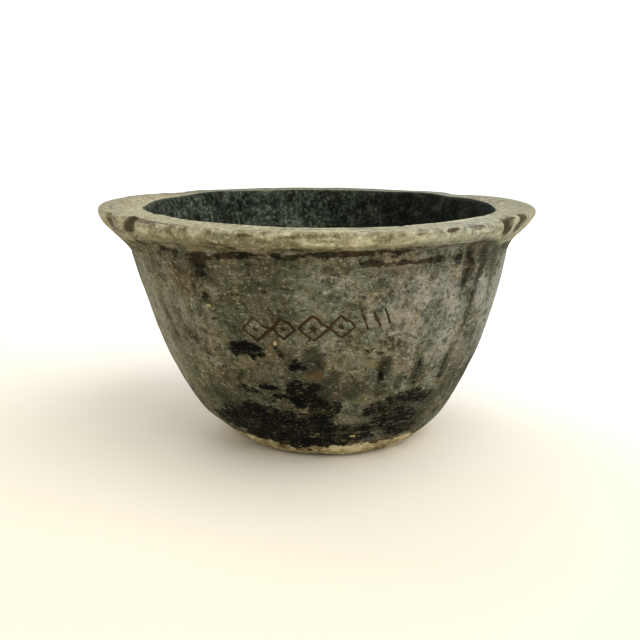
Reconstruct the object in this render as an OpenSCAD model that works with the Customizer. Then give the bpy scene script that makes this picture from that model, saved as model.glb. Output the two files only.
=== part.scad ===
// Carved stone mortar bowl: one solid piece of soft stone, hollowed by hand.
// The round bottom sits on a small flat base, the wall flares up to a thick rim flange,
// and two carrying lugs at +X and -X are marked off by pairs of upright flutes.
// Millimetres, +Z up, origin under the middle of the rim on the surface it stands on.

/* [Overall] */
// Width across the two lugs
lug_d = 240; // [200:1:280]
// Diameter of the rim flange between the lugs
rim_d = 238; // [196:1:276]
// Height of the rim flange's top face
rim_h = 130; // [110:1:150]
// Diameter of the flat base
base_d = 95; // [80:1:110]

/* [Bowl wall] */
// Outer diameter of the body just under the rim flange
body_d = 214; // [198:1:220]
// Flare of the upper wall from the vertical, in degrees
flare = 16.2; // [12:0.1:18]
// Radius of the round lower body
belly_r = 108; // [95:1:120]
// Sideways lean of the carved body under its level rim, in degrees
lean = 2.6; // [0:0.1:3]
// Sideways shift of the body from the middle of its rim
body_shift = 0.8; // [0:0.1:2]

/* [Hollow] */
// Diameter of the mouth at the rim's top face
mouth_d = 196; // [180:1:200]
// Thickness of stone under the middle of the hollow
floor_t = 18; // [12:1:24]
// Radius of the hollow's round lower part
hollow_r = 78; // [70:1:82]
// Radius of the rounded inner lip
lip_r = 4; // [1:0.5:6]

/* [Rim flange] */
// Height of the flange's upright outer face, with its rounded corners
flange_face = 7; // [6:0.5:10]
// Depth of the flange where its underside meets the body
flange_t = 12; // [10:0.5:16]
// Radius of the flange's rounded outer corners
flange_round = 3; // [1:0.5:3]

/* [Lugs] */
// Half of the angle that each lug takes up, in degrees
lug_half = 35.5; // [34:0.5:38]
// How far a lug's top stands above the flange
lug_rise = 2; // [0.5:0.5:4]
// Radial width of the slope from the flange up to a lug's top
lug_ramp = 12; // [4:1:16]
// Depth of a lug where its sloping underside meets the body
lug_t = 20; // [14:0.5:26]
// Height of a lug's upright end face below its top
lug_face = 5; // [3:0.5:9]

/* [Flutes] */
// Angle of the shallow flute from the lug's middle, in degrees
flute_a1 = 31; // [26:0.5:32]
// Angle of the deep flute from the lug's middle, in degrees
flute_a2 = 40; // [38:0.5:44]
// Depth of the shallow flute
flute_t1 = 3; // [1:0.5:4]
// Depth of the deep flute
flute_t2 = 5; // [2:0.5:6]
// Radius of the gouge that cuts the flutes
flute_r = 4.5; // [3:0.5:6]

/* [Hidden] */
$fn = 180;
stone = [0.43, 0.43, 0.38];
lug_bevel = 1.5;                // worn corner along a lug's end
over = 12;                      // how far a cutter runs past what it cuts
body_in = 100;                  // inner radius of the rings, inside the wall
steps = 14;                     // straight facets in each curved stretch of a profile

rim_r = rim_d / 2;
lug_r = lug_d / 2;
top_h = rim_h + lug_rise;
joint_h = rim_h - flange_t;     // where the flange's underside meets the body

// Unit vectors up the flared wall and out of it, as [radius, height]
up = [sin(flare), cos(flare)];
out = [cos(flare), -sin(flare)];

// Point at radius r on the line through p and q
function at_radius(p, q, r) = p + (q - p) * (r - p[0]) / (q[0] - p[0]);

// Centre of an arc of radius r that touches the line through p and passes through q
function touch_centre(p, q, r) =
    let (v = q - p + r * out, b = v * up, s = -b - sqrt(b * b - v * v + r * r))
    p - s * up - r * out;

// Points on an arc of radius r about c, from angle a0 to a1
function arc(c, r, a0, a1) =
    [for (i = [0:steps]) let (a = a0 + (a1 - a0) * i / steps) c + r * [cos(a), sin(a)]];

// Angle at which an arc about c reaches the bowl's axis
function axis_angle(c, r) = -acos(-c[0] / r);

wall_top = [body_d / 2, joint_h];
belly_c = touch_centre(wall_top, [base_d / 2, 0], belly_r);

// The hollow's arc is level with its floor and touches its flared wall
mouth = [mouth_d / 2, rim_h];
hollow_cz = floor_t + hollow_r;
hollow_cr = mouth[0] - (hollow_r + (rim_h - hollow_cz) * sin(flare)) / cos(flare);
hollow_c = [hollow_cr, hollow_cz];

// Shifts its children sideways and leans them about the middle of the rim
module leaning() {
    translate([body_shift, 0, rim_h]) rotate([0, -lean, 0]) translate([0, 0, -rim_h]) children();
}

// Outside of the body, cut level at the base and at the rim
module body_blank() {
    intersection() {
        leaning() rotate_extrude() polygon(concat(
            arc(belly_c, belly_r, axis_angle(belly_c, belly_r), -flare),
            [wall_top + up * (flange_t + over), [0, rim_h + over]]
        ));
        cylinder(r = lug_r, h = rim_h);
    }
}

// Rim flange all round, with rounded outer corners and a sloping underside
module rim_flange() {
    c_top = [rim_r - flange_round, rim_h - flange_round];
    c_low = [rim_r - flange_round, rim_h - flange_face + flange_round];
    low_end = c_low + flange_round * [cos(70), -sin(70)];
    rotate_extrude() polygon(concat(
        [[body_in, rim_h]],
        arc(c_top, flange_round, 90, 0),
        arc(c_low, flange_round, 0, -70),
        [at_radius(low_end, [body_d / 2, joint_h], body_in)]
    ));
}

// One lug: a raised, deeper length of the flange with a bracket-like underside
module lug() {
    face_end = [lug_r - 2 * lug_bevel, top_h - lug_face - 2 * lug_bevel];
    rotate([0, 0, -lug_half]) rotate_extrude(angle = 2 * lug_half) polygon([
        [body_in, rim_h],
        [body_in + lug_ramp, top_h],
        [lug_r - lug_bevel, top_h],
        [lug_r, top_h - lug_bevel],
        [lug_r - 0.5, top_h - lug_face],
        face_end,
        at_radius(face_end, [body_d / 2, top_h - lug_t], body_in)
    ]);
}

// Upright gouge for one flute, reaching depth into a rim of radius r
module flute(angle, depth, r) {
    rotate([0, 0, angle]) translate([r + flute_r - depth, 0, joint_h - over])
        cylinder(r = flute_r, h = flange_t + lug_rise + 2 * over);
}

// The two flutes at one edge of a lug
module flute_pair() {
    flute(flute_a1, flute_t1, lug_r);
    flute(flute_a2, flute_t2, rim_r);
}

// Inside of the bowl
module hollow() {
    leaning() rotate_extrude() polygon(concat(
        [[0, floor_t]],
        arc(hollow_c, hollow_r, -90, -flare),
        [mouth + up * over, [0, mouth[1] + over]]
    ));
}

// Waste between a square inner lip and a rounded one
module lip_waste() {
    c = [mouth[0] + lip_r, rim_h - lip_r];
    rotate_extrude() polygon(concat(
        [[mouth[0] - lip_r, rim_h - lip_r]],
        arc(c, lip_r, 180, 90),
        [[mouth[0] + lip_r, top_h + over], [mouth[0] - lip_r, top_h + over]]
    ));
}

module mortar_bowl() {
    color(stone) difference() {
        union() {
            body_blank();
            rim_flange();
            for (side = [0, 180]) rotate([0, 0, side]) lug();
        }
        hollow();
        lip_waste();
        for (side = [0, 180]) rotate([0, 0, side]) {
            flute_pair();
            mirror([0, 1, 0]) flute_pair();
        }
    }
}

mortar_bowl();
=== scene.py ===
"""Looks of the carved stone mortar bowl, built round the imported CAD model.

The bowl is one closed mesh, swept round the same outline as the CAD node and then roughened
the way a hand-cut stone is: uneven walls, gouged flutes, pits, chips and scratched marks.
Sizes in the mesh code are millimetres; the finished mesh is written in metres.
"""
import math
from itertools import product

import bpy
import numpy as np
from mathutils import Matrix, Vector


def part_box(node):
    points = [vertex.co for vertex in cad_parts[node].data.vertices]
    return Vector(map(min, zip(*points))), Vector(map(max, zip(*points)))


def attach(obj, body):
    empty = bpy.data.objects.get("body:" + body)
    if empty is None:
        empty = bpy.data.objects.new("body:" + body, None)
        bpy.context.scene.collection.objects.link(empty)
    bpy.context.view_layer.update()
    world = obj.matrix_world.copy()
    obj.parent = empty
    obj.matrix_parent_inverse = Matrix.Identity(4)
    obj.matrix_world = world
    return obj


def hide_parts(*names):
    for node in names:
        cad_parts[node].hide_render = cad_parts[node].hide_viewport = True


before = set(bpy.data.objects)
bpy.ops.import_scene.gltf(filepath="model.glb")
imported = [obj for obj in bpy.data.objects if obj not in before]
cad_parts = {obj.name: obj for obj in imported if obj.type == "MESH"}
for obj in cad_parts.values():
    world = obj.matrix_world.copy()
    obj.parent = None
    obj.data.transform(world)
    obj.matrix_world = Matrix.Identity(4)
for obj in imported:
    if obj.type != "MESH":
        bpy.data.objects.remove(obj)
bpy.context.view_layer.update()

MM = 0.001
NODE = "mortar_bowl"
low, high = (np.array(corner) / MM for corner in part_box(NODE))

# ---------------------------------------------------------------- camera

CAMERA_AT = (0.0015, -0.532, 0.181)   # metres
CAMERA_PITCH = 12.4          # degrees below the horizon
CAMERA_LENS = 53.3           # mm on a 36 mm sensor


def add_camera():
    data = bpy.data.cameras.new("camera")
    data.sensor_width = 36
    data.lens = CAMERA_LENS
    camera = bpy.data.objects.new("camera", data)
    camera.location = CAMERA_AT
    camera.rotation_euler = (math.radians(90 - CAMERA_PITCH), 0, 0)
    bpy.context.scene.collection.objects.link(camera)
    bpy.context.scene.camera = camera


# ---------------------------------------------------------------- driving sizes, mm and degrees

TOP_H = high[2]              # top of the lugs
RIM_H = TOP_H - 2.0          # top face of the rim between the lugs
LUG_R = high[0]
RIM_R = LUG_R - 1.0
BODY_R = 107.0               # outside of the wall under the rim
JOINT_H = RIM_H - 12.0       # where the rim's underside meets the wall
FLARE = math.radians(16.2)
BELLY_R = 108.0
BASE_R = 47.5
BASE_EDGE_R = 43.0           # the flat ends here and the worn edge begins
BASE_DISH = 0.8              # the flat is worn hollow by this much in its middle
MOUTH_R = 98.0
FLOOR_H = 18.0
HOLLOW_R = 78.0
LEAN = 0.046                 # sideways drift of the body per mm below the rim
LEAN_START = -0.7            # and the drift that it starts from

LUG_HALF = 35.5              # half of a lug's angle
LUG_BLEND = 2.2              # half the degrees over which a lug gives way to the plain rim
LUG_SLOPE = 11.0             # the same for its height
# Flutes: azimuth, depth, and the gouge's radius. The two at each lug corner differ a little,
# as cut by hand
FLUTES = [
    (-140.9, 5.2, 5.0), (-150.5, 2.2, 3.8), (-37.6, 4.8, 4.5), (-31.0, 3.4, 3.7),
    (139.5, 5.6, 4.5), (149.0, 3.2, 3.5), (40.5, 5.4, 4.5), (31.5, 3.4, 3.4),
]
FLUTE_EDGE = 1.2             # width of the rounded edge where a flute meets the top face
FLUTE_END_H = 117.5          # the gouge runs out here, above the wall

# Bulges of the hand-cut wall: azimuth, height, half turn, half height, and how far out
BULGES = [
    (0, 84, 55, 27, 2.3), (0, 12, 55, 13, 3.2), (0, 42, 50, 14, -0.5), (180, 72, 60, 26, 1.2),
    (180, 109, 50, 11, -1.1), (180, 20, 50, 12, 2.5), (-90, 42, 45, 26, -0.9),
    (-95, 2, 60, 7, 2.8), (90, 60, 60, 30, 0.6),
]
BULGE_FADE_ROWS = 14         # the bulges die out over this many of the ring's first rows
BASE_SHIFT = 1.0             # the worn base sits this much further to the right
MOUTH_SHIFT = 1.5            # the hollow was cut off centre by this much
MOUTH_TRIM = -1.0            # the mouth's radius differs by this much from the CAD model's
MOUTH_NIP = -1.1             # and by this much again towards the lugs
# The top is not quite level: azimuth, half turn, and how much lower it sits there
DIPS = [
    (14, 42, 1.25), (-80, 34, 0.85), (100, 46, -0.85), (-145, 22, -0.7), (34, 12, 0.7),
    (150, 12, 0.6), (134, 10, -0.9), (46, 9, -0.9),
]
LIP_LIFT = 0.9               # the lip stands higher towards the lugs

WALL_START_H = 2.2           # lowest row of the wall, above the worn edge of the base
WALL_END_H = JOINT_H - 1.5
LIP_W = 7.0                  # the lip is this wide a part of the rim's top face
BOX_GAP = 0.01               # kept between the mesh and the CAD model's box

COLUMNS = 450                # round the bowl
BASE, WALL, RING, HOLLOW = range(4)   # zones of rows; the ring is the rim's section
ROW_STEP = 1.75              # between the wall's rows
FINE_ROW_STEP = 0.7          # the same across the scratched marks
MARKS_H = (68.0, 94.0)       # the marks lie between these heights
MARKS_MARGIN = 6.0           # and the rows are fine for this much beyond them


def smooth(t):
    """Smooth step from 0 to 1 as t goes from 0 to 1."""
    t = np.clip(t, 0, 1)
    return t * t * (3 - 2 * t)


def turn_between(a, b):
    """Smallest angle between azimuths a and b, in degrees."""
    return np.abs((a - b + 180) % 360 - 180)


# ---------------------------------------------------------------- noise

NOISE_PERIOD = 16            # cells before the noise repeats


def value_noise(points, cell, seed):
    """Smooth noise from -1 to 1 over 3-D points, with features about one cell wide."""
    table = np.random.default_rng(seed).uniform(-1, 1, (NOISE_PERIOD,) * 3)
    at = points / cell
    whole = np.floor(at).astype(int)
    part = smooth(at - whole)
    total = np.zeros(len(points))
    for corner in product((0, 1), repeat=3):
        weight = np.prod(np.where(corner, part, 1 - part), axis=1)
        i, j, k = ((whole + corner) % NOISE_PERIOD).T
        total += weight * table[i, j, k]
    return total


def rough_noise(points, cell, seed, octaves):
    """Several value noises added, each half the size and half the strength of the last."""
    total = np.zeros(len(points))
    for octave in range(octaves):
        total += 0.5 ** octave * value_noise(points, cell / 2 ** octave, seed + octave)
    return total


# ---------------------------------------------------------------- outline

def touch_centre(start, end, radius):
    """Centre of the belly's arc: it touches the flared wall line through start and meets end."""
    up = np.array([math.sin(FLARE), math.cos(FLARE)])
    out = np.array([math.cos(FLARE), -math.sin(FLARE)])
    gap = end - start + radius * out
    along = -gap @ up - math.sqrt((gap @ up) ** 2 - gap @ gap + radius ** 2)
    return start - along * up - radius * out


BELLY_C = touch_centre(np.array([BODY_R, JOINT_H]), np.array([BASE_R, 0.0]), BELLY_R)
BELLY_TOP = BELLY_C[1] - BELLY_R * math.sin(FLARE)


def wall_radius(height):
    """Outside radius of the wall at a height."""
    line = BODY_R - (JOINT_H - height) * math.tan(FLARE)
    arc = BELLY_C[0] + np.sqrt(np.maximum(BELLY_R ** 2 - (BELLY_C[1] - height) ** 2, 0))
    return np.where(height > BELLY_TOP, line, arc)


HOLLOW_C = np.array([
    MOUTH_R - (HOLLOW_R + (RIM_H - FLOOR_H - HOLLOW_R) * math.sin(FLARE)) / math.cos(FLARE),
    FLOOR_H + HOLLOW_R,
])


def arc_points(centre, radius, start, end, count):
    """Points on an arc, from the start angle to the end angle in degrees."""
    angle = np.radians(np.linspace(start, end, count))
    return np.stack([centre[0] + radius * np.cos(angle), centre[1] + radius * np.sin(angle)], 1)


def evenly(corners, step):
    """Points about one step apart along straight lines through the corners."""
    rows = [np.array(corners[0], float)[None]]
    for a, b in zip(corners[:-1], corners[1:]):
        a, b = np.array(a, float), np.array(b, float)
        count = max(1, round(np.linalg.norm(b - a) / step))
        rows.append(a + (b - a) * (np.arange(1, count + 1) / count)[:, None])
    return np.vstack(rows)


def soften(points, passes):
    """Rounds the corners of an open outline, keeping its two ends."""
    points = points.copy()
    for _ in range(passes):
        points[1:-1] = 0.5 * points[1:-1] + 0.25 * (points[:-2] + points[2:])
    return points


def resample(points, count):
    """The same outline with count points, evenly spaced."""
    run = np.concatenate([[0], np.cumsum(np.linalg.norm(np.diff(points, axis=0), axis=1))])
    at = np.linspace(0, run[-1], count)
    return np.stack([np.interp(at, run, points[:, i]) for i in (0, 1)], 1)


def wall_rows():
    """Heights of the wall's rows, closest together across the scratched marks."""
    heights, h = [WALL_START_H], WALL_START_H
    while h < WALL_END_H:
        above = smooth((h - MARKS_H[0] + MARKS_MARGIN) / MARKS_MARGIN)
        below = smooth((MARKS_H[1] + MARKS_MARGIN - h) / MARKS_MARGIN)
        h += ROW_STEP + (FINE_ROW_STEP - ROW_STEP) * above * below
        heights.append(h)
    return np.array(heights) * WALL_END_H / heights[-1]


RING_ROWS = 60               # rows round the rim's section, from the wall to the inner lip
MIDDLE_R = 1.5               # radius of the innermost ring of the base and of the hollow's floor

# Section of the plain rim, and of a lug, from the wall up and over to the inner lip
LIP_SECTION = [(MOUTH_R + 2.6, RIM_H), (MOUTH_R + 0.6, RIM_H - 0.7), (MOUTH_R - 0.4, RIM_H - 2.8)]
RIM_SECTION = [
    (BODY_R - 0.9, RIM_H - 13.2), (BODY_R + 0.4, RIM_H - 11.6), (BODY_R + 2.8, RIM_H - 10.4),
    (BODY_R + 6.2, RIM_H - 9.0), (RIM_R - 3.2, RIM_H - 7.4), (RIM_R - 1.4, RIM_H - 5.0),
    (RIM_R - 0.6, RIM_H - 2.2), (RIM_R - 1.4, RIM_H - 0.4), (RIM_R - 3.6, RIM_H),
] + LIP_SECTION
LUG_SECTION = [
    (BODY_R - 2.85, TOP_H - 24.0), (BODY_R - 1.7, TOP_H - 21.2), (BODY_R + 0.1, TOP_H - 18.6),
    (BODY_R + 2.8, TOP_H - 15.4), (LUG_R - 6.7, TOP_H - 12.0), (LUG_R - 3.2, TOP_H - 8.6),
    (LUG_R - 1.1, TOP_H - 5.2), (LUG_R, TOP_H - 2.4), (LUG_R - 0.5, TOP_H - 0.9),
    (LUG_R - 2.6, TOP_H), (MOUTH_R + 12, TOP_H - 0.2), (MOUTH_R + 6, RIM_H + 0.5),
] + LIP_SECTION


def ring_rows(section):
    """The ring's rows over a section, with its corners worn round."""
    return resample(soften(evenly(section, 0.4), 5), RING_ROWS)


def hollow_rows():
    """Points down the inside of the bowl, from under the lip to the middle of its floor."""
    angle = math.degrees(-FLARE)
    arc = arc_points(HOLLOW_C, HOLLOW_R, angle, -90, 34)
    line = evenly([RIM_SECTION[-1], arc[0]], 3.4)
    return np.vstack([line[1:], arc[1:], evenly([arc[-1], (MIDDLE_R, FLOOR_H)], 3.0)[1:]])


def near_azimuth(az, middle, reach, fade):
    """1 near the middle, falling to 0 over the last degrees of the reach."""
    return smooth((reach - turn_between(az, middle)) / fade)


def column_angles():
    """Azimuths of the columns in degrees, from back to back, closest at the marks and flutes."""
    az = np.linspace(90, -270, 7201)
    marks = near_azimuth(az, -89, reach=42, fade=12)
    flutes = [near_azimuth(az, corner, reach=16, fade=6) for corner in (-145, -35, 35, 145)]
    weight = 0.62 + 1.7 * marks + 0.9 * np.max(flutes, axis=0)
    run = np.concatenate([[0], np.cumsum(0.5 * (weight[1:] + weight[:-1]))])
    return np.interp(np.arange(COLUMNS) / COLUMNS * run[-1], run, az)


# ---------------------------------------------------------------- swept surface

def lug_share(az, blend=LUG_BLEND):
    """1 on a lug, 0 on the plain rim, with a change between them that many degrees wide."""
    off = np.minimum(turn_between(az, 0), turn_between(az, 180))
    return smooth((LUG_HALF + blend - off) / (2 * blend))


def sweep():
    """The columns' azimuths, the rows' zones, and every vertex's radius and height."""
    az = column_angles()
    heights = wall_rows()
    base = np.vstack([
        evenly([(MIDDLE_R, BASE_DISH), (30, 0.6), (BASE_EDGE_R - 3, 0.1), (BASE_EDGE_R, 0)], 5.0),
        [(BASE_EDGE_R + 1.7, 0.15), (BASE_EDGE_R + 3.4, 0.55), (BASE_EDGE_R + 5.1, 1.25)],
    ])
    rim, lug = ring_rows(RIM_SECTION), ring_rows(LUG_SECTION)
    hollow = hollow_rows()
    counts = [len(base), len(heights), RING_ROWS, len(hollow)]
    zones = np.repeat([BASE, WALL, RING, HOLLOW], counts)

    shares = np.stack([lug_share(az), lug_share(az, LUG_SLOPE)], 1)
    columns = []
    for share in shares:
        ring = rim + share * (lug - rim)
        # a lug reaches further down, so the wall's rows are squeezed together below it
        top = ring[0, 1] - 1.2
        squeeze = (top - heights[0]) / np.ptp(heights)
        squeezed = heights[0] + (heights - heights[0]) * squeeze
        wall = np.stack([wall_radius(squeezed), squeezed], 1)
        columns.append(np.vstack([base, wall, ring, hollow]))
    grid = np.array(columns).transpose(1, 0, 2)
    return az, zones, grid[:, :, 0], grid[:, :, 1]


def cut_flutes(az, radius, height, zones):
    """Radius with the rim's outer part pulled inwards where the upright gouge cuts."""
    ring = (zones == RING)[:, None]
    edge = np.where(ring, radius, 0).max(axis=0)
    reach = edge.copy()
    for centre, depth, gouge in FLUTES:
        off = np.radians(turn_between(az, centre))
        middle = edge - depth + gouge
        # off is in radians; only this side of the bowl is cut, not the one opposite
        inside = np.where(off < 0.2, gouge ** 2 - (middle * np.sin(off)) ** 2, -1)
        near = middle * np.cos(off) - np.sqrt(np.maximum(inside, 0))
        reach = np.where(inside > 0, np.minimum(reach, near), reach)
    cut = np.maximum(edge - reach, 0)
    # the gouge's edges are worn round
    cut = np.convolve(np.concatenate([cut[-1:], cut, cut[:1]]), [0.15, 0.7, 0.15], "valid")
    # only the last few mm are squeezed inwards, so the top face stays flat up to the cut
    start = edge - cut - FLUTE_EDGE
    beyond = np.maximum(radius - start, 0) * ring
    under = smooth((height - FLUTE_END_H) / 6)
    return radius - beyond * cut / (cut + FLUTE_EDGE) * under


def uneven_wall(az, radius, height, zones):
    """Slow changes of the wall's radius that the eye sees in the outline."""
    shift = np.zeros(height.shape)
    for side, at, half_turn, half_height, out in BULGES:
        turn = np.exp(-(turn_between(az, side) / half_turn) ** 2)[None]
        shift += out * turn * np.exp(-((height - at) / half_height) ** 2)
    first = np.flatnonzero(zones == RING)[0]
    fade = smooth(1 - (np.arange(len(zones)) - first) / BULGE_FADE_ROWS)
    body = np.where(zones == HOLLOW, 0, fade)
    return shift * body[:, None] * smooth((radius - 20) / 20)


def place(az, radius, height, zones):
    """Vertex positions as a (rows, columns, 3) array, with the bowl's sideways drifts."""
    turn = np.radians(az)[None]
    # below the rim the bowl leans to the right, and its worn base sits further over
    below = RIM_H - height
    body = np.isin(zones, (BASE, WALL))[:, None]
    drift = smooth(below / 12) * (LEAN_START + LEAN * below) * (zones != RING)[:, None]
    drift = drift + body * BASE_SHIFT * np.exp(-height / 10)
    # the mouth is off centre and a little narrower, less so further down the hollow
    top_face = smooth((MOUTH_R + LIP_W - radius) / LIP_W)
    lip = (zones == HOLLOW)[:, None] + (zones == RING)[:, None] * top_face
    sideways = np.cos(turn) ** 2
    radius = radius + (MOUTH_TRIM + MOUTH_NIP * sideways) * lip * smooth((height - 40) / 60)
    drift = drift + MOUTH_SHIFT * lip * smooth((height - 20) / 60)
    # the top is not level
    dips = [drop * np.exp(-(turn_between(az, at) / half) ** 2) for at, half, drop in DIPS]
    settle = (sum(dips)[None] - LIP_LIFT * sideways * lip) * smooth((height - RIM_H + 5) / 5)
    return np.stack([radius * np.cos(turn) + drift, radius * np.sin(turn), height - settle], 2)


def normals_of(points):
    """Outward unit normals of the swept grid."""
    around = np.roll(points, -1, axis=1) - np.roll(points, 1, axis=1)
    along = np.gradient(points, axis=0)
    normal = np.cross(along, around)
    return normal / np.maximum(np.linalg.norm(normal, axis=2, keepdims=True), 1e-9)


# ---------------------------------------------------------------- scratched marks

# A plain border pattern: four linked lozenges with a dot in each, then three ticks. Points are
# (along the wall, up) in mm, measured from MARKS_START, the pattern rising a little to the right
MARKS_START = (-38.0, 79.0)
MARKS_RISE = 0.055
MARKS_R = 95.0               # the wall's radius at the marks
MARKS_X = 2.0                # and how far its middle is to the right there
LOZENGE_W, LOZENGE_H = 12.6, 6.0
LOZENGE_STEP = LOZENGE_W + 1.2
LOZENGES = [(1.0, 0.5), (0.9, -0.7), (1.08, 0.4), (0.96, -0.3)]    # growth and tilt of each
TICK_STEP = 5.2
STROKE_HALF, STROKE_DEPTH = 1.05, 0.75


def mark_strokes():
    """Every scratched stroke as a list of (along, up) points."""
    strokes = []
    for i, (grow, tilt) in enumerate(LOZENGES):
        x = i * LOZENGE_STEP
        w, h = LOZENGE_W * grow, LOZENGE_H * grow
        strokes += [
            [(x, tilt), (x + 0.46 * w, h), (x + w, 0.3)],
            [(x + 0.3, -tilt), (x + 0.53 * w, -h), (x + w + 0.8, -0.4)],
            [(x + 0.42 * w, 0.5), (x + 0.58 * w, -0.4)],
        ]
    end = len(LOZENGES) * LOZENGE_STEP
    for i in range(3):
        x = end + i * TICK_STEP
        strokes.append([(x + 2.2, 5.2 + i), (x + 5.4, -2.4 + i)])
    return [[(x, y + MARKS_RISE * x) for x, y in stroke] for stroke in strokes]


def stroke_closeness(flat, strokes, half):
    """1 in the middle of a stroke and 0 past its edge, for points laid flat on the wall."""
    closest = np.full(len(flat), 1e3)
    for i, stroke in enumerate(strokes):
        half_here = half * (0.75 + 0.1 * (i * 3 % 5))    # no two neighbours are as wide
        for a, b in zip(stroke[:-1], stroke[1:]):
            a, b = np.array(a), np.array(b)
            run = np.clip((flat - a) @ (b - a) / ((b - a) @ (b - a)), 0, 1)
            away = np.linalg.norm(flat - a - run[:, None] * (b - a), axis=1)
            closest = np.minimum(closest, away / half_here)
    return smooth(1 - closest)


# ---------------------------------------------------------------- roughening

def dents(points, centres, sizes, depths):
    """Total depth of round-bottomed dents at the centres."""
    total = np.zeros(len(points))
    for centre, size, depth in zip(centres, sizes, depths):
        near = np.flatnonzero(np.abs(points - centre).max(axis=1) < size)
        away = np.linalg.norm(points[near] - centre, axis=1) / size
        total[near] = np.maximum(total[near], depth * smooth(1 - away))
    return total


def scattered(rng, points, groups):
    """Total depth of dents at random vertices.

    Each group has a mask of the vertices to choose from, how many dents, and the ranges of their
    radius and depth.
    """
    total = np.zeros(len(points))
    for where, count, sizes, depths in groups:
        centres = points[rng.choice(np.flatnonzero(where), count)]
        total += dents(points, centres, rng.uniform(*sizes, count), rng.uniform(*depths, count))
    return total


# The coarse, the medium and the fine noise: cell in mm, seed and octaves
NOISES = [(62, 11, 3), (19, 21, 3), (5.5, 31, 2)]
# How far each of the three moves each zone's surface
UNEVENNESS = {
    BASE: (0, 0.15, 0.15), WALL: (0.55, 0.3, 0.11), RING: (0.22, 0.16, 0.1),
    HOLLOW: (0.5, 0.16, 0.05),
}


def roughen(points, normal, zone, ring_run):
    """The vertices moved along their normals, with the depth of pits and the marks' strength."""
    rng = np.random.default_rng(7)
    noises = [rough_noise(points, cell, seed, octaves) for cell, seed, octaves in NOISES]
    shift = np.zeros(len(points))
    for z, shares in UNEVENNESS.items():
        shift += (zone == z) * sum(share * noise for share, noise in zip(shares, noises))

    x, y, h = points.T
    turn = np.degrees(np.arctan2(y, x))
    wall, ring = zone == WALL, zone == RING
    below_right_lug = wall & (turn_between(turn, -47) < 11) & (np.abs(h - 82) < 15)
    outer_edge = ring & (np.abs(ring_run - 0.47) < 0.04)
    face = ring & (ring_run > 0.12) & (ring_run < 0.46)
    lip = ring & (ring_run > 0.9)
    base_edge = np.isin(zone, (BASE, WALL)) & (h < 3) & (np.hypot(x, y) > 40)
    pits = scattered(rng, points, [
        (wall, 330, (1.4, 3.4), (0.25, 0.7)),
        (zone == HOLLOW, 120, (2.0, 4.0), (0.2, 0.5)),
        (below_right_lug, 90, (0.9, 1.9), (0.4, 0.9)),
        (outer_edge, 60, (1.4, 3.2), (0.2, 0.6)),
        (face, 120, (1.6, 4.0), (0.15, 0.5)),
        (lip, 30, (1.6, 3.4), (0.15, 0.5)),
        (ring, 90, (1.0, 2.2), (0.1, 0.35)),
        (base_edge, 26, (2.5, 6.0), (0.15, 0.5)),
    ])

    along = (np.degrees(np.arctan2(y, x - MARKS_X)) + 90) * math.radians(MARKS_R)
    flat = np.stack([along, h], 1) - MARKS_START
    wobble = 0.45 * value_noise(points, 3.2, 51)
    front = wall & (y < 0) & (h > MARKS_H[0] - MARKS_MARGIN)
    marks = np.zeros(len(points))
    marks[front] = stroke_closeness(flat[front] + wobble[front, None], mark_strokes(), STROKE_HALF)
    shift -= pits + STROKE_DEPTH * marks
    return points + shift[:, None] * normal, pits, marks


# ---------------------------------------------------------------- masks

# Patches on the wall: azimuth and height of the middle, half width in degrees, half height in
# mm, strength. The first lines of each list are the side that the photo shows
SOOT = [
    # the big burnt patch low on the left, with its columns above
    (-121, 22, 12, 12, 1.0), (-109, 22, 12, 14, 1.0), (-98, 19, 12, 13, 1.0),
    (-89, 20, 8, 13, 1.0), (-133, 20, 8, 7, 0.85), (-78, 14, 10, 5, 0.7), (-80, 23, 6, 3, 0.55),
    (-114, 35, 7, 3.5, 0.8), (-103, 33, 6, 4, 0.6), (-96, 41, 3.4, 5.5, 1.0),
    (-97, 51.5, 3.4, 3, 0.95), (-90, 38, 3.2, 7.5, 0.9), (-86, 33, 5, 2.2, 0.8),
    (-102, 43.5, 3.8, 1.8, 0.8), (-107, 48, 6, 1.4, 0.8), (-115, 45, 5, 1.3, 0.6),
    (-102, 54, 1.8, 1.2, 0.8), (-85.5, 35, 3.4, 8, 0.85), (-97.5, 46, 4, 7, 0.95),
    (-91.5, 46, 3, 7, 0.8),
    # blotches half way up
    (-115, 69, 3.8, 3.6, 0.9), (-110.5, 64, 0.9, 2.6, 0.75), (-117, 66, 1.6, 3, 0.6),
    (-114.5, 79.5, 1.5, 2.2, 0.6), (-111, 68, 4, 3, 0.95), (-108.5, 65, 2.2, 2.2, 0.85),
    (-101, 67.5, 1.3, 3, 0.7), (-97, 62, 2.8, 2.6, 0.7), (-94, 60, 1.8, 1.4, 0.55),
    (-73, 68.5, 1.7, 1.5, 0.75), (-70.5, 67, 1.2, 1, 0.7), (-123, 94, 1.5, 2.6, 0.55),
    (-122, 83, 1.4, 1.2, 0.5),
    # the burnt patch low on the right
    (-64, 32, 7.5, 8.5, 0.85), (-58, 24, 10, 8, 0.8), (-54, 40, 9, 4.5, 0.6),
    (-53, 18, 10, 5, 0.7), (-70, 18, 8, 5, 0.6), (-69, 53, 1.3, 5.5, 0.54),
    (-56, 54, 1.1, 6.5, 0.5), (-44.5, 55, 1.0, 7, 0.48),
    # round the sides and the back
    (6, 26, 16, 11, 0.85), (45, 27, 20, 11, 0.95), (85, 22, 18, 9, 0.9), (128, 23, 18, 10, 0.95),
    (62, 50, 3, 8, 0.6), (141, 40, 4, 9, 0.7), (168, 27, 12, 8, 0.65), (76, 64, 2, 3, 0.7),
    (118, 68, 3, 3, 0.7), (104, 48, 4, 5, 0.6),
]
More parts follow.
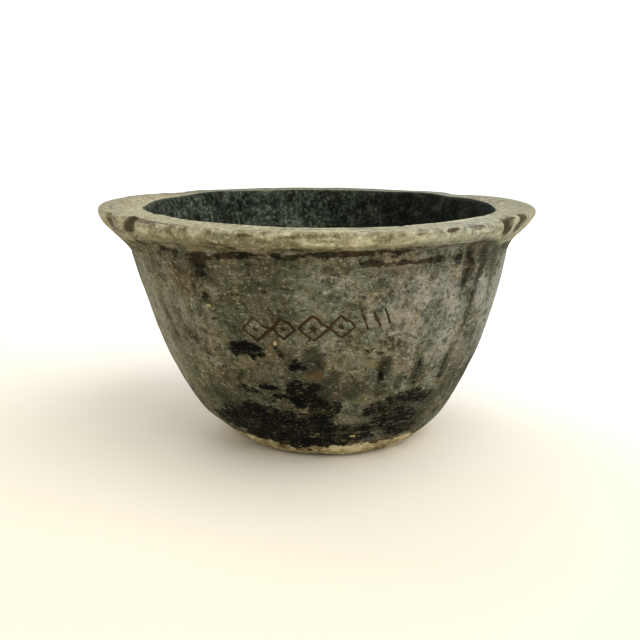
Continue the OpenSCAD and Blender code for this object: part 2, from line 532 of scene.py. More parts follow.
# Thin dark smears and streaks
SMEARS = [
    (-86, 46, 5, 10, 0.9), (-91.5, 62, 4, 8, 0.9), (-79.5, 33, 6, 9, 0.3), (-98, 56, 5, 9, 0.6),
    (-110, 54, 10, 7, 0.4), (-68, 57, 2.0, 9, 0.95), (-69, 47, 2.4, 5, 0.9), (-71, 53, 4, 4, 0.6),
    (-62.5, 50, 2.2, 6, 0.75), (-78, 47, 6, 5.5, 0.75), (-56, 54, 2.4, 9, 0.95),
    (-44, 54, 2.2, 13, 0.6), (-50, 60, 1.8, 5, 0.4), (-44.6, 107, 1.7, 11, 1.5),
    (-39.2, 107, 1.6, 10, 1.4), (-31.8, 107, 3.4, 9.5, 0.7), (-39.5, 90, 1.5, 5, 0.9),
    (-40.5, 82, 1.8, 5, 0.9), (-48, 112, 4, 4, 0.3), (-48, 98, 2, 0.8, 0.8),
    (-43, 89, 1.6, 7, 0.25), (-58, 107, 1.6, 6, 0.6), (-36, 72, 2.4, 6, 0.2),
    (-58, 32, 18, 12, 0.8), (-46, 30, 7, 12, 0.9), (-38, 38, 6, 16, 0.55), (-44, 19, 8, 6, 0.8),
    (-79, 20, 8, 7, 0.7), (-69, 24, 7, 5, 0.6), (-136, 37, 3, 3.5, 0.7), (-125, 36, 8, 5, 0.6),
    (-112, 42, 10, 5, 0.5), (-91, 47, 5, 7, 0.7), (-123, 94, 2.4, 4, 0.6), (-115, 70, 5, 5, 0.3),
    (-99, 64, 6, 6, 0.5), (-122, 108, 4, 6, 0.7), (-20, 42, 12, 13, 0.7), (14, 46, 3, 12, 0.8),
    (56, 74, 2.5, 9, 0.7), (96, 88, 3, 10, 0.7), (150, 74, 3, 11, 0.7), (20, 98, 4, 11, 0.7),
    (-14, 92, 3, 14, 0.6), (-168, 24, 9, 8, 0.7), (108, 100, 2, 12, 0.7), (70, 98, 2.4, 12, 0.7),
    (172, 60, 4, 14, 0.6), (40, 62, 5, 10, 0.6),
]
# Dark brown stains, most of them along the seam under the rim, where they are partly painted shade
BROWN_AND_SHADE = [
    (-122, 114.5, 5, 3, 1.0), (-121.8, 108.5, 2.8, 4.8, 1.0), (-110, 116.2, 8, 1.8, 1.1),
    (-98, 116.6, 7, 1.5, 1.0), (-88, 117.2, 5, 2.0, 1.1), (-80, 118, 6, 1.7, 1.0),
    (-71, 118.6, 8, 1.3, 0.9), (-76, 113.2, 6, 2.0, 1.0), (-67, 112.8, 6, 1.5, 0.9),
    (-59, 113.6, 4, 2.0, 0.9), (-52, 113.8, 5, 1.4, 0.7), (-108, 112, 1.8, 0.9, 0.8),
    (-133, 115, 6, 2.2, 0.75), (-141, 113, 6, 2.2, 0.55), (-132, 108, 3, 1.6, 0.5),
    (-128, 104, 3, 2, 0.45), (-104, 98, 4, 3.5, 0.5), (-99, 94, 3, 2.5, 0.5),
    (-111, 96, 2, 2.5, 0.45), (-74, 108, 3, 1.5, 0.45), (-140, 100, 3, 5, 0.35),
    (-76, 21, 8, 5, 0.5), (-44.6, 107, 1.4, 10, 0.8), (-39.2, 107, 1.1, 8, 0.62),
    (-49.5, 112.5, 2.6, 2.0, 0.8), (-48.5, 97, 2.4, 0.6, 1.0), (-39.5, 90, 1.0, 4, 0.7),
    (60, 117, 20, 1.8, 1.0), (95, 117.5, 14, 1.6, 0.9), (128, 117, 16, 1.8, 1.0),
    (70, 112, 2, 6, 0.8), (122, 110, 3, 6, 0.8), (-20, 113, 8, 3, 0.6), (10, 111, 10, 2, 0.6),
    (172, 110, 10, 2, 0.6),
]
RUST = [
    (-91.5, 56, 3.8, 2.8, 0.7), (-95, 58, 2.6, 2.6, 0.5), (-112, 56, 9, 5, 0.28),
    (70, 48, 4, 3, 0.6),
]
# Darker olive stone, with painted shade in the patches just under the rim
SHADE = [
    (-124, 108, 9, 9, 1.2), (-106, 110, 10, 7, 0.8), (-92, 110, 8, 6, 0.35),
    (-104, 98, 9, 10, 0.7), (-114, 86, 9, 14, 0.65), (-102, 84, 10, 9, 0.6), (-94, 76, 9, 8, 0.35),
    (-106, 66, 12, 9, 0.6), (-119.5, 72, 4.5, 30, 0.45), (-124, 42, 9, 14, 0.9),
    (-110.5, 82, 4.5, 18, 0.8), (-100, 44, 14, 12, 0.8), (-84, 92, 6, 9, 0.3),
    (-73, 107, 9, 5, 0.5), (-80, 54, 12, 14, 0.4), (-34, 112, 10, 7, 0.7), (-32, 50, 10, 24, 0.45),
    (-24, 76, 8, 16, 0.25), (-92, 58, 8, 8, 0.5), (-66, 60, 5, 10, 0.35), (-138, 50, 6, 16, 0.2),
    (-107, 88, 8, 8, 0.75), (-98, 85, 7, 7, 0.6), (60, 100, 20, 12, 0.5), (130, 80, 20, 20, 0.5),
    (20, 60, 16, 20, 0.5), (170, 100, 20, 16, 0.4), (90, 60, 14, 14, 0.4), (90, 112, 60, 5, 0.7),
    (0, 108, 24, 5, 0.6), (180, 108, 24, 5, 0.6),
]
# Paler, drier stone, and painted light on the right side of the wall
PALE_AND_LIGHT = [
    (-50, 82, 9, 20, 0.65), (-60, 98, 10, 10, 0.6), (-68, 84, 8, 14, 0.4),
    (-87, 105, 7, 4.5, 0.45), (-154, 74, 9, 40, 0.75), (-138, 84, 6, 26, 0.38),
    (-131, 72, 6, 22, 0.35), (-113, 54, 7, 3.5, 0.4), (-18, 84, 12, 26, 0.9),
    (-34, 93, 4, 10, 0.8), (-76, 36, 8, 5, 0.4), (-97, 28, 2, 6, 0.5), (-50, 64, 7, 10, 0.5),
    (-63, 84, 8, 16, 0.5), (-61, 46, 3, 8, 0.4), (30, 80, 16, 18, 0.5), (100, 74, 12, 20, 0.4),
    (160, 64, 14, 20, 0.4),
]
# Where the stone is smoother and its mottling weaker
CALM = [(-158, 70, 26, 90, 1.0)]
# Painted shade on the hollow's far right side, where the inside is darkest
FAR_SIDE_SHADE = [(30, 110, 46, 60, 1.0)]
# Small pale chips
DOTS = [
    (-101.5, 71.5, 0.9, 1.2, 1.0), (-123, 90, 1.0, 0.8, 0.8), (-130, 88, 0.7, 2.4, 0.6),
    (-128, 79, 0.9, 1.4, 0.5), (-99, 102, 0.8, 0.8, 0.6), (-49, 66, 1.6, 0.6, 0.6),
    (-80, 30.5, 3, 0.4, 0.7), (-54, 45, 3.4, 0.5, 0.6), (-75, 15, 1.6, 0.9, 0.8),
    (55, 84, 1.2, 1.6, 0.8), (124, 52, 1.2, 1.2, 0.8),
]
# Patches on the rim: azimuth, share of the way over its section from the wall to the lip,
# half sizes in the same units, strength
RIM_BROWN = [
    (-142.2, 0.45, 1.4, 0.12, 0.9), (-139.2, 0.46, 1.8, 0.10, 0.8), (-135, 0.53, 5, 0.055, 1.15),
    (-126, 0.53, 6, 0.04, 0.75), (-117, 0.5, 5, 0.04, 0.45), (-106, 0.42, 1.7, 0.05, 0.7),
    (-112, 0.22, 5, 0.08, 0.5), (-112, 0.47, 3, 0.02, 0.6), (-97, 0.4, 2, 0.03, 0.6),
    (-57.2, 0.45, 1.6, 0.035, 1.6), (-52, 0.49, 4, 0.02, 0.35), (-49.5, 0.44, 2.6, 0.04, 0.5),
    (-41.6, 0.5, 1.3, 0.03, 0.5), (-61, 0.44, 1.2, 0.03, 0.8), (-67, 0.43, 1.6, 0.03, 0.7),
    (-45, 0.34, 3, 0.04, 0.6), (-73, 0.38, 1.6, 0.03, 0.6), (-30.4, 0.44, 1.5, 0.12, 0.8),
    (-34.8, 0.56, 1.0, 0.025, 0.9), (-164, 0.66, 4, 0.02, 0.6), (-88, 0.36, 3, 0.03, 0.5),
    (-130, 0.13, 12, 0.08, 0.5), (-155, 0.12, 10, 0.1, 0.5), (-20, 0.36, 4, 0.06, 0.3),
    (-92, 0.2, 8, 0.05, 0.5), (-66, 0.17, 10, 0.04, 0.5), (40, 0.42, 2.6, 0.13, 0.8),
    (140, 0.42, 2.6, 0.13, 0.9), (31, 0.4, 2, 0.1, 0.5), (149, 0.4, 2, 0.1, 0.5),
    (90, 0.45, 10, 0.05, 0.5), (70, 0.4, 4, 0.06, 0.5), (112, 0.44, 5, 0.05, 0.6),
]
# Green-grey clouds on the rim, with painted shade on its lower outer face and underside, in the
# right flute, over the far rim and on the lugs' tops
RIM_GREEN_AND_SHADE = [
    (-106, 0.3, 8, 0.09, 0.9), (-122, 0.24, 12, 0.1, 0.8), (-37.4, 0.42, 2.0, 0.14, 1.3),
    (-109.5, 0.38, 4, 0.06, 1.0), (-98, 0.33, 5, 0.06, 0.7), (180, 0.64, 34, 0.16, 0.45),
    (0, 0.64, 34, 0.16, 0.45), (-97, 0.24, 12, 0.1, 0.6), (-78, 0.2, 12, 0.09, 0.5),
    (-62, 0.22, 9, 0.1, 0.6), (-50, 0.2, 9, 0.1, 0.8), (-140, 0.24, 10, 0.08, 0.5),
    (-75, 0.7, 22, 0.16, 0.3), (90, 0.62, 60, 0.34, 1.0), (0, 0.2, 24, 0.14, 0.6),
    (180, 0.16, 20, 0.1, 0.6), (-20, 0.66, 8, 0.1, 0.3), (90, 0.2, 50, 0.12, 0.7),
]
# Grime and painted shade in the flutes, and painted shade on part of the rim's underside and over
# the far rim's top
RIM_DIRT_AND_SHADE = [
    (-142.4, 0.43, 1.1, 0.12, 1.0), (-140.2, 0.45, 1.2, 0.1, 0.45), (-150.5, 0.44, 1.4, 0.12, 0.6),
    (-36.4, 0.42, 2.1, 0.11, 1.5), (-29.7, 0.45, 1.6, 0.12, 1.4), (-34.6, 0.57, 0.9, 0.025, 1.0),
    (40.5, 0.42, 2, 0.13, 0.8), (139.5, 0.42, 2, 0.13, 0.8), (31.5, 0.42, 1.4, 0.1, 0.5),
    (149, 0.42, 1.4, 0.1, 0.5), (90, 0.62, 50, 0.3, 0.5), (-41, 0.12, 9, 0.1, 0.75),
]
# Paler worn patches on the rim, and painted highlights on the ridges and edges beside the flutes
RIM_PALE_AND_HIGHLIGHT = [
    (-84, 0.9, 30, 0.05, 0.9), (-88, 0.6, 14, 0.1, 0.35), (-86, 0.36, 12, 0.08, 0.5),
    (-50, 0.88, 20, 0.05, 0.7), (-96, 0.46, 6, 0.04, 0.4), (-70, 0.44, 5, 0.05, 0.5),
    (-134, 0.38, 3, 0.05, 0.8), (-118, 0.42, 3, 0.04, 0.5), (-33.7, 0.44, 0.8, 0.14, 1.6),
    (-45.2, 0.4, 1.6, 0.05, 0.7), (-48, 0.4, 3, 0.04, 0.9), (-144.5, 0.4, 1.6, 0.12, 0.5),
    (-54, 0.4, 7, 0.03, 0.5), (-63, 0.38, 5, 0.04, 0.6), (180, 0.5, 30, 0.06, 0.4),
    (0, 0.5, 24, 0.06, 0.4), (60, 0.45, 5, 0.05, 0.6), (120, 0.44, 5, 0.05, 0.6),
]


def patches(turn, along, spots):
    """Strength of the strongest patch at each vertex: full in its middle, half at its edge."""
    best = np.zeros(len(turn))
    for spot_turn, spot_along, half_turn, half_along, strength in spots:
        sideways = turn_between(turn, spot_turn) / half_turn
        away = np.hypot(sideways, (along - spot_along) / half_along)
        best = np.maximum(best, strength * smooth(1.5 - away))
    return best


def surface_masks(points, zone, ring_run, pits, marks):
    """Per-vertex strengths, mostly from 0 to 1, that the material mixes its layers by."""
    # the patches' outlines are bent about, so that none is a plain oval
    turn = np.degrees(np.arctan2(points[:, 1], points[:, 0])) + 1.5 * rough_noise(points, 9, 61, 2)
    h = points[:, 2] + 1.7 * rough_noise(points, 8, 71, 2)
    level = points[:, 2] + 0.6 * rough_noise(points, 6, 71, 2)
    run = ring_run + 0.02 * rough_noise(points, 5, 81, 2)
    outside = np.isin(zone, (BASE, WALL)).astype(float)
    ring, hollow = zone == RING, zone == HOLLOW
    # the dark inside starts lower towards the lugs, and higher on the far side's flanks
    corner = sum(np.exp(-(turn_between(turn, side) / 20) ** 2) for side in (-6, 180))
    flank = 0.085 * np.exp(-(turn_between(turn, 34) / 21) ** 2)
    flank = flank + 0.035 * np.exp(-(turn_between(turn, 140) / 20) ** 2)
    inside_start = 0.885 + 0.042 * corner - flank
    inside = hollow + ring * smooth((ring_run - inside_start) / 0.06)
    # the wall's patches run on over the seam, a little way up the rim's underside
    seam = outside + ring * smooth((0.24 - ring_run) / 0.1)
    rim_brown = patches(turn, run, RIM_BROWN) * ring
    rim_green_and_shade = patches(turn, run, RIM_GREEN_AND_SHADE) * ring
    rim_pale_and_highlight = patches(turn, run, RIM_PALE_AND_HIGHLIGHT) * ring
    return {
        "soot": patches(turn, h, SOOT) * seam,
        "smear": patches(turn, h, SMEARS) * seam,
        # brown stains, partly painted shade along the seam under the rim
        "brown": np.maximum(patches(turn, level, BROWN_AND_SHADE) * seam, rim_brown),
        "rust": patches(turn, h, RUST) * outside,
        # darker olive stone and painted shade under the rim; on the rim, green-grey clouds and
        # painted shade
        "shade": np.maximum(patches(turn, h, SHADE) * outside, rim_green_and_shade),
        # paler stone, painted light on the wall's right side, and painted highlights beside the
        # rim's flutes
        "pale": np.maximum(patches(turn, h, PALE_AND_LIGHT) * outside, rim_pale_and_highlight),
        "dots": patches(turn, h, DOTS) * outside,
        "rim": ring * smooth((ring_run - 0.08) / 0.2) * (1 - inside),
        "inside": np.clip(inside, 0, 1),
        # painted shade on the hollow's far right side
        "far": patches(turn, points[:, 2], FAR_SIDE_SHADE) * inside,
        "worn": outside * smooth((14 - points[:, 2]) / 8),
        # grime and painted shade in the pits and flutes; painted shade under the rim and over the
        # far rim
        "dirt_and_shade": np.clip(1.1 * pits + patches(turn, run, RIM_DIRT_AND_SHADE) * ring, 0, 1),
        "calm": patches(turn, h, CALM) * outside,
        "marks": marks,
    }


# ---------------------------------------------------------------- mesh

def add_bowl(points, masks):
    """The closed bowl mesh, in metres, with its masks as attributes."""
    inside_box = np.clip(points, low + BOX_GAP, high - BOX_GAP) * MM
    base_middle = [*inside_box[:COLUMNS, :2].mean(axis=0), BASE_DISH * MM]
    floor_middle = [*inside_box[-COLUMNS:, :2].mean(axis=0), FLOOR_H * MM]
    vertices = np.vstack([inside_box, base_middle, floor_middle])
    column = np.arange(COLUMNS)
    after = (column + 1) % COLUMNS
    faces = []
    last = len(points) - COLUMNS
    for a in range(0, last, COLUMNS):
        b = a + COLUMNS
        faces += np.stack([a + column, a + after, b + after, b + column], 1).tolist()
    # fans of triangles close the base and the hollow's floor
    base_hub, floor_hub = np.full(COLUMNS, len(points)), np.full(COLUMNS, len(points) + 1)
    faces += np.stack([after, column, base_hub], 1).tolist()
    faces += np.stack([last + column, last + after, floor_hub], 1).tolist()
    mesh = bpy.data.meshes.new("stone_bowl")
    mesh.from_pydata(vertices.tolist(), [], faces)
    mesh.polygons.foreach_set("use_smooth", np.ones(len(mesh.polygons), bool))
    for name, values in masks.items():
        attribute = mesh.attributes.new(name, "FLOAT", "POINT")
        attribute.data.foreach_set("value", np.append(values, [0, values[-1]]).astype(np.float32))
    mesh.update()
    bowl = bpy.data.objects.new("stone_bowl", mesh)
    bpy.context.scene.collection.objects.link(bowl)
    return bowl


# ---------------------------------------------------------------- material

def srgb(red, green, blue):
    """A colour given as 0 to 255 display values, as the linear RGBA that shaders take."""
    def linear(c):
        return ((c / 255 + 0.055) / 1.055) ** 2.4 if c > 10 else c / 255 / 12.92
    return (linear(red), linear(green), linear(blue), 1.0)


MEAN_R = 0.1                 # metres; patterns that run round the bowl are laid out at this radius
SPECULAR = 0.06              # the stone's; a plain value, because the export drops a linked one


class Graph:
    """Short names for the shader nodes that the materials use. Scales are features per metre."""

    def __init__(self, name):
        self.material = bpy.data.materials.new(name)
        self.material.use_nodes = True
        self.nodes = self.material.node_tree.nodes
        self.links = self.material.node_tree.links
        self.shader = self.nodes["Principled BSDF"]
        self.at = self.nodes.new("ShaderNodeTexCoord").outputs["Object"]

    def feed(self, socket, value):
        """Links another node's socket, or sets a plain value."""
        if isinstance(value, bpy.types.NodeSocket):
            self.links.new(value, socket)
        else:
            socket.default_value = value

    def mask(self, name):
        """One of the mesh's per-vertex masks."""
        node = self.nodes.new("ShaderNodeAttribute")
        node.attribute_name = name
        return node.outputs["Fac"]

    def math(self, operation, a, b):
        node = self.nodes.new("ShaderNodeMath")
        node.operation = operation
        self.feed(node.inputs[0], a)
        self.feed(node.inputs[1], b)
        return node.outputs[0]

    def axes(self):
        """The X, Y and Z of the place, in metres."""
        node = self.nodes.new("ShaderNodeSeparateXYZ")
        self.feed(node.inputs[0], self.at)
        return node.outputs

    def stretched(self, sides, upright):
        """Coordinates that run round the bowl and up it, scaled apart, with no seam."""
        x, y, z = self.axes()
        flat = self.nodes.new("ShaderNodeCombineXYZ")
        self.feed(flat.inputs[0], x)
        self.feed(flat.inputs[1], y)
        unit = self.nodes.new("ShaderNodeVectorMath")
        unit.operation = "NORMALIZE"
        self.feed(unit.inputs[0], flat.outputs[0])
        scaled = self.nodes.new("ShaderNodeVectorMath")
        scaled.operation = "MULTIPLY_ADD"
        self.feed(scaled.inputs[0], unit.outputs[0])
        scaled.inputs[1].default_value = (MEAN_R * sides,) * 3
        lifted = self.nodes.new("ShaderNodeCombineXYZ")
        self.feed(lifted.inputs[2], self.math("MULTIPLY", z, upright))
        self.feed(scaled.inputs[2], lifted.outputs[0])
        return scaled.outputs[0]

    def noise(self, scale, detail, roughness, at=None):
        """Fractal noise, centred on 0.5."""
        node = self.nodes.new("ShaderNodeTexNoise")
        self.feed(node.inputs["Vector"], self.at if at is None else at)
        node.inputs["Scale"].default_value = scale
        node.inputs["Detail"].default_value = detail
        node.inputs["Roughness"].default_value = roughness
        return node.outputs["Fac"]

    def step(self, value, start, end, lowest=0.0, highest=1.0):
        """Smooth step of value from start to end, giving lowest to highest."""
        node = self.nodes.new("ShaderNodeMapRange")
        node.interpolation_type = "SMOOTHSTEP"
        for i, v in enumerate((value, start, end, lowest, highest)):
            self.feed(node.inputs[i], v)
        return node.outputs[0]

    def ramp(self, value, *stops):
        """Colour ramp over (position, colour) stops."""
        node = self.nodes.new("ShaderNodeValToRGB")
        self.feed(node.inputs[0], value)
        elements = node.color_ramp.elements
        while len(elements) < len(stops):
            elements.new(0.5)
        for element, (position, colour) in zip(elements, stops):
            element.position = position
            element.color = colour
        return node.outputs[0]

    def mix(self, share, under, over, blend="MIX"):
        """Mixes two colours."""
        node = self.nodes.new("ShaderNodeMix")
        node.data_type = "RGBA"
        node.blend_type = blend
        self.feed(node.inputs["Factor"], share)
        self.feed(node.inputs[6], under)      # A and B of the colour kind
        self.feed(node.inputs[7], over)
        return node.outputs[2]

    def cover(self, under, mask, share, over):
        """Covers a colour with another one where a mask says, up to a share of it."""
        return self.mix(self.math("MULTIPLY", mask, share), under, over)

    def blend(self, share, under, over):
        """Mixes two plain numbers."""
        node = self.nodes.new("ShaderNodeMix")
        self.feed(node.inputs["Factor"], share)
        self.feed(node.inputs[2], under)      # A and B of the number kind
        self.feed(node.inputs[3], over)
        return node.outputs[0]

    def ragged(self, mask, noise, spread, start=0.42, end=0.58):
        """A mask whose soft edge is broken up by a noise."""
        offset = self.math("MULTIPLY", self.math("SUBTRACT", noise, 0.5), spread)
        return self.step(self.math("ADD", mask, offset), start, end)


def body_colour(g, mottle, grain):
    """Olive and mauve grey stone, fractally mottled, warmer in some places than in others, with
    painted shade under the rim and painted light on the wall's right side.
    """
    colour = g.ramp(
        mottle, (0.36, srgb(34, 33, 23)), (0.44, srgb(71, 69, 54)), (0.5, srgb(101, 98, 82)),
        (0.55, srgb(125, 121, 107)), (0.63, srgb(182, 174, 164)))
    olive = g.step(g.noise(17, 3, 0.5), 0.4, 0.62)
    tint = g.mix(olive, srgb(255, 246, 244), srgb(232, 242, 218))
    colour = g.mix(0.5, colour, tint, "MULTIPLY")
    cool = g.step(g.noise(64, 6, 0.75), 0.42, 0.58)
    tint = g.mix(cool, srgb(255, 238, 205), srgb(225, 240, 246))
    colour = g.mix(0.6, colour, tint, "MULTIPLY")
    # darker olive stone, with painted shade just under the rim
    shade = g.ragged(g.mask("shade"), mottle, 1.8, 0.1, 0.95)
    colour = g.cover(colour, shade, 0.6, srgb(52, 50, 35))
    # paler, drier stone, and painted light on the wall's right side
    pale = g.ragged(g.mask("pale"), mottle, 1.8, 0.1, 0.95)
    colour = g.cover(colour, pale, 0.6, srgb(160, 158, 145))
    colour = g.mix(g.step(grain, 0.55, 0.68, 0, 0.3), colour, srgb(198, 193, 182))
    return g.mix(g.step(grain, 0.46, 0.34, 0, 0.75), colour, srgb(36, 34, 22))


def speckled(g, colour, grain, level):
    """The colour with fine pale and dark specks and short level dashes."""
    specks = g.noise(1.0, 4, 0.75, at=g.stretched(520, 1000))
    dusty = g.step(g.noise(70, 4, 0.6), 0.4, 0.6)
    colour = g.cover(colour, g.step(specks, 0.55, 0.7, 0, 0.42), dusty, srgb(200, 196, 178))
    colour = g.mix(g.step(specks, 0.45, 0.32, 0, 0.6), colour, srgb(30, 28, 16))
    dashes = g.math("MULTIPLY", g.step(level, 0.56, 0.66), g.step(grain, 0.44, 0.54))
    return g.cover(colour, dashes, 0.55, srgb(186, 182, 164))


def worn_at_base(g, colour, mottle):
    """The colour with the pale worn band round the base, and the brown line above it."""
    worn = g.math("MULTIPLY", g.math("SUBTRACT", mottle, 0.5), 2.4)
    worn = g.math("ADD", g.mask("worn"), worn)
    band = g.ramp(
        mottle, (0.4, srgb(112, 94, 60)), (0.5, srgb(172, 156, 114)), (0.6, srgb(214, 200, 162)))
    colour = g.mix(g.step(worn, 0.1, 0.4, 0, 0.75), colour, srgb(66, 48, 20))
    return g.mix(g.step(worn, 0.42, 0.62), colour, band)


def sooty(g, colour, mottle, level):
    """The colour under ragged soot, rubbed through in level lines, with pale flecks."""
    ragged = g.blend(0.35, g.noise(150, 9, 0.85), level)
    soot = g.ragged(g.mask("soot"), ragged, 6.0, 0.22, 0.62)
    black = g.ramp(
        mottle, (0.42, srgb(3, 3, 1)), (0.54, srgb(13, 12, 5)), (0.66, srgb(60, 58, 40)))
    colour = g.cover(colour, soot, g.step(level, 0.59, 0.68, 1, 0.3), black)
    flecks = g.noise(1.0, 3, 0.6, at=g.stretched(380, 1250))
    flecks = g.math("MULTIPLY", g.step(flecks, 0.6, 0.67), g.step(mottle, 0.42, 0.56))
    return g.cover(colour, flecks, g.blend(soot, 0.55, 0.28), srgb(182, 176, 152))


def rim_colour(g, mottle, grain):
    """Tan, handled stone with green-grey clouds, painted shade on its lower face, underside, far
    side and lug tops, and painted highlights beside the flutes.
    """
    colour = g.ramp(
        mottle, (0.36, srgb(78, 68, 42)), (0.44, srgb(114, 105, 75)), (0.5, srgb(145, 138, 108)),
        (0.56, srgb(168, 164, 134)), (0.64, srgb(202, 198, 172)))
    # the shade mask here: green-grey clouds and painted shade
    green = g.ragged(g.mask("shade"), mottle, 2.4, 0.2, 0.8)
    colour = g.cover(colour, green, 0.6, srgb(88, 88, 66))
    # the pale mask here: paler worn stone, and painted highlights beside the flutes
    pale = g.ragged(g.mask("pale"), mottle, 2.4, 0.2, 0.8)
    colour = g.cover(colour, pale, 0.6, srgb(197, 191, 159))
    colour = g.mix(g.step(grain, 0.54, 0.66, 0, 0.5), colour, srgb(214, 208, 182))
    return g.mix(g.step(grain, 0.46, 0.34, 0, 0.65), colour, srgb(74, 65, 40))


def hollow_colour(g, mottle, grain):
    """Dark blue-grey inside, with pale flecks and fine upright scratches, and painted shade on its
    far right side.
    """
    colour = g.ramp(
        mottle, (0.38, srgb(7, 9, 4)), (0.46, srgb(27, 33, 24)), (0.54, srgb(50, 56, 47)),
        (0.64, srgb(100, 108, 92)))
    colour = g.mix(g.step(grain, 0.53, 0.64, 0, 0.36), colour, srgb(124, 131, 112))
    colour = g.mix(g.step(grain, 0.48, 0.38, 0, 0.7), colour, srgb(10, 12, 7))
    scratches = g.noise(1.0, 4, 0.65, at=g.stretched(420, 40))
    colour = g.mix(g.step(scratches, 0.56, 0.68, 0, 0.15), colour, srgb(140, 147, 126))
    # the far mask paints shade on the hollow's far right side
    return g.cover(colour, g.mask("far"), 0.75, srgb(9, 12, 3))


def stained(g, colour, mottle, level):
    """The colour with brown stains (partly painted shade along the seam under the rim), rust and
    small pale chips.
    """
    # brown stains, partly painted shade along the seam under the rim
    brown = g.ragged(g.mask("brown"), g.blend(0.4, g.noise(230, 8, 0.85), level), 5.5, 0.35, 0.8)
    clouds = g.step(mottle, 0.42, 0.6)
    on_wall = g.mix(clouds, srgb(11, 8, 3), srgb(44, 34, 17))
    on_rim = g.mix(clouds, srgb(52, 40, 20), srgb(108, 92, 58))
    colour = g.cover(colour, brown, 0.9, g.mix(g.mask("rim"), on_wall, on_rim))
    rust = g.ragged(g.mask("rust"), mottle, 4.5, 0.3, 0.95)
    colour = g.cover(colour, rust, 0.6, srgb(92, 66, 34))
    return g.mix(g.step(g.mask("dots"), 0.35, 0.6, 0, 0.85), colour, srgb(176, 158, 116))


def scratched(g, colour):
    """The colour with grime and painted shade in the pits and flutes, painted shade under the rim
    and over the far rim, and the scratched marks.
    """
    # grime and painted shade in the pits, the flutes, part of the rim's underside and the far rim
    colour = g.cover(colour, g.mask("dirt_and_shade"), 0.85, srgb(53, 50, 35))
    marks = g.ragged(g.mask("marks"), g.noise(260, 5, 0.7), 1.0, 0.2, 0.45)
    groove = g.mix(g.step(g.noise(40, 4, 0.6), 0.42, 0.6), srgb(13, 9, 3), srgb(56, 38, 19))
    return g.cover(colour, marks, 0.9, groove)


def stone_material():
    """The whole bowl's stone: wall, rim and hollow, each worn and stained in its own way."""
    g = Graph("stone")
    mottle = g.noise(95, 9, 0.78)
    grain = g.noise(480, 5, 0.72)
    upright = g.noise(1.0, 6, 0.7, at=g.stretched(170, 18))
    level = g.noise(1.0, 6, 0.7, at=g.stretched(46, 380))
    x = g.axes()[0]
    right = g.step(x, 0.01, 0.09)

    # the wall, from the stone's own colours to what was smeared and burnt on to it
    calm = g.math("MULTIPLY", g.mask("calm"), 0.4)
    colour = body_colour(g, g.blend(calm, g.blend(0.2, mottle, upright), 0.505), grain)
    colour = speckled(g, colour, grain, level)
    smear = g.ragged(g.mask("smear"), g.blend(0.5, mottle, upright), 3.0, 0.15, 0.9)
    colour = g.cover(colour, smear, 0.72, srgb(34, 32, 20))
    colour = worn_at_base(g, colour, mottle)
    colour = sooty(g, colour, mottle, level)
    colour = g.mix(g.step(x, 0.02, -0.06), colour, srgb(255, 255, 245), "MULTIPLY")

    # the rim and the hollow, with ragged borders, the rim cooler on its right
    tan = rim_colour(g, g.blend(0.5, mottle, g.noise(230, 7, 0.75)), grain)
    tan = g.cover(tan, right, g.step(x, 0.075, 0.095, 0.2, 0.04), srgb(168, 176, 170))
    rim = g.ragged(g.mask("rim"), mottle, 1.8, 0.3, 0.7)
    colour = g.mix(rim, colour, tan)
    inside = g.ragged(g.mask("inside"), mottle, 0.8)
    colour = g.mix(inside, colour, hollow_colour(g, mottle, grain))

    # stains run over all three
    colour = stained(g, colour, mottle, level)
    colour = g.mix(right, colour, srgb(247, 251, 255), "MULTIPLY")
    g.feed(g.shader.inputs["Base Color"], scratched(g, colour))

    rough = g.step(grain, 0.35, 0.65, 0.66, 0.9)
    rough = g.blend(rim, rough, g.step(mottle, 0.38, 0.62, 0.45, 0.7))
    g.feed(g.shader.inputs["Roughness"], g.blend(inside, rough, 0.85))
    g.shader.inputs["Specular IOR Level"].default_value = SPECULAR

    fine = g.blend(0.5, g.noise(560, 5, 0.65), g.noise(1500, 3, 0.6))
    bump = g.nodes.new("ShaderNodeBump")
    g.feed(bump.inputs["Height"], g.blend(0.3, g.blend(0.35, fine, mottle), level))
    bump.inputs["Strength"].default_value = 0.7
    bump.inputs["Distance"].default_value = 0.0018
    g.feed(g.shader.inputs["Normal"], bump.outputs[0])
    return g.material


def floor_material():
    """Plain paper, warm and darker near the bowl and towards the front left as painted shade, and
    whiter further back and to the right.
    """
    g = Graph("paper")
    x, y, _ = g.axes()
    away = g.math("ADD", y, g.math("MULTIPLY", x, 0.5))
    # painted shade: the paper darkens and warms towards the front left, and turns white towards
    # the back and right
    colour = g.mix(g.step(away, -0.3, 0.6), srgb(231, 223, 201), srgb(252, 252, 252))
    g.feed(g.shader.inputs["Base Color"], colour)
    g.shader.inputs["Roughness"].default_value = 0.9
    return g.material


# ---------------------------------------------------------------- stage

# Metres: half the floor's width, where it starts to curve up, the curve's radius, and its top
FLOOR_HALF, SWEEP_START, SWEEP_R, SWEEP_TOP = 2.4, 1.3, 0.9, 3.0


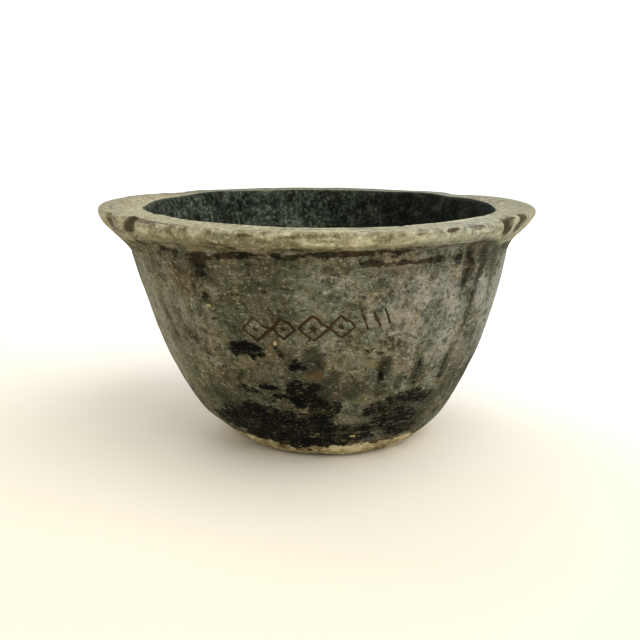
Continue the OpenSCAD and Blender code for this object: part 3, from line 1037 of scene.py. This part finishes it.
def add_stage():
    """A pale floor that curves up behind the bowl."""
    bend = np.radians(np.linspace(0, 90, 24))
    outline = [(-FLOOR_HALF, 0.0)]
    outline += [(SWEEP_START + SWEEP_R * math.sin(a), SWEEP_R * (1 - math.cos(a))) for a in bend]
    outline.append((SWEEP_START + SWEEP_R, SWEEP_TOP))
    vertices = [(x, y, z) for y, z in outline for x in (-FLOOR_HALF, FLOOR_HALF)]
    faces = [(2 * i, 2 * i + 1, 2 * i + 3, 2 * i + 2) for i in range(len(outline) - 1)]
    mesh = bpy.data.meshes.new("floor")
    mesh.from_pydata(vertices, [], faces)
    mesh.polygons.foreach_set("use_smooth", [True] * len(faces))
    mesh.materials.append(floor_material())
    floor = bpy.data.objects.new("floor", mesh)
    bpy.context.scene.collection.objects.link(floor)


def add_softbox(name, at, size, power, colour=(1.0, 1.0, 1.0)):
    """A round soft light at a place in metres, aimed at the origin."""
    data = bpy.data.lights.new(name, "AREA")
    data.shape = "DISK"
    data.size = size
    data.energy = power
    data.color = colour
    light = bpy.data.objects.new(name, data)
    light.location = at
    light.rotation_euler = (-light.location).to_track_quat("-Z", "Y").to_euler()
    bpy.context.scene.collection.objects.link(light)


def add_world(brightness):
    world = bpy.data.worlds.new("world")
    world.use_nodes = True
    world.node_tree.nodes["Background"].inputs[0].default_value = (1.0, 1.0, 1.0, 1.0)
    world.node_tree.nodes["Background"].inputs[1].default_value = brightness
    bpy.context.scene.world = world


# ---------------------------------------------------------------- build

add_camera()


def build_bowl():
    """The finished bowl, from its plain sweep to its roughened, masked mesh."""
    az, zones, radius, height = sweep()
    radius = cut_flutes(az, radius, height, zones)
    radius = radius + uneven_wall(az, radius, height, zones)
    grid = place(az, radius, height, zones)
    zone = np.repeat(zones, COLUMNS)
    past_wall = np.arange(len(zones)) - np.flatnonzero(zones == RING)[0]
    ring_run = np.repeat(past_wall / (RING_ROWS - 1), COLUMNS)
    points, pits, marks = roughen(
        grid.reshape(-1, 3), normals_of(grid).reshape(-1, 3), zone, ring_run)
    bowl = add_bowl(points, surface_masks(points, zone, ring_run, pits, marks))
    bowl.data.materials.append(stone_material())
    return bowl


bowl = build_bowl()
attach(bowl, "root")
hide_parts(NODE)

add_stage()
add_softbox("key", at=(1.0, -0.6, 1.2), size=2.4, power=26, colour=(1.0, 1.0, 0.99))
add_softbox("wash", at=(-0.9, 1.2, 1.6), size=1.2, power=9)
add_world(brightness=0.86)
bpy.context.scene.view_settings.view_transform = "Standard"
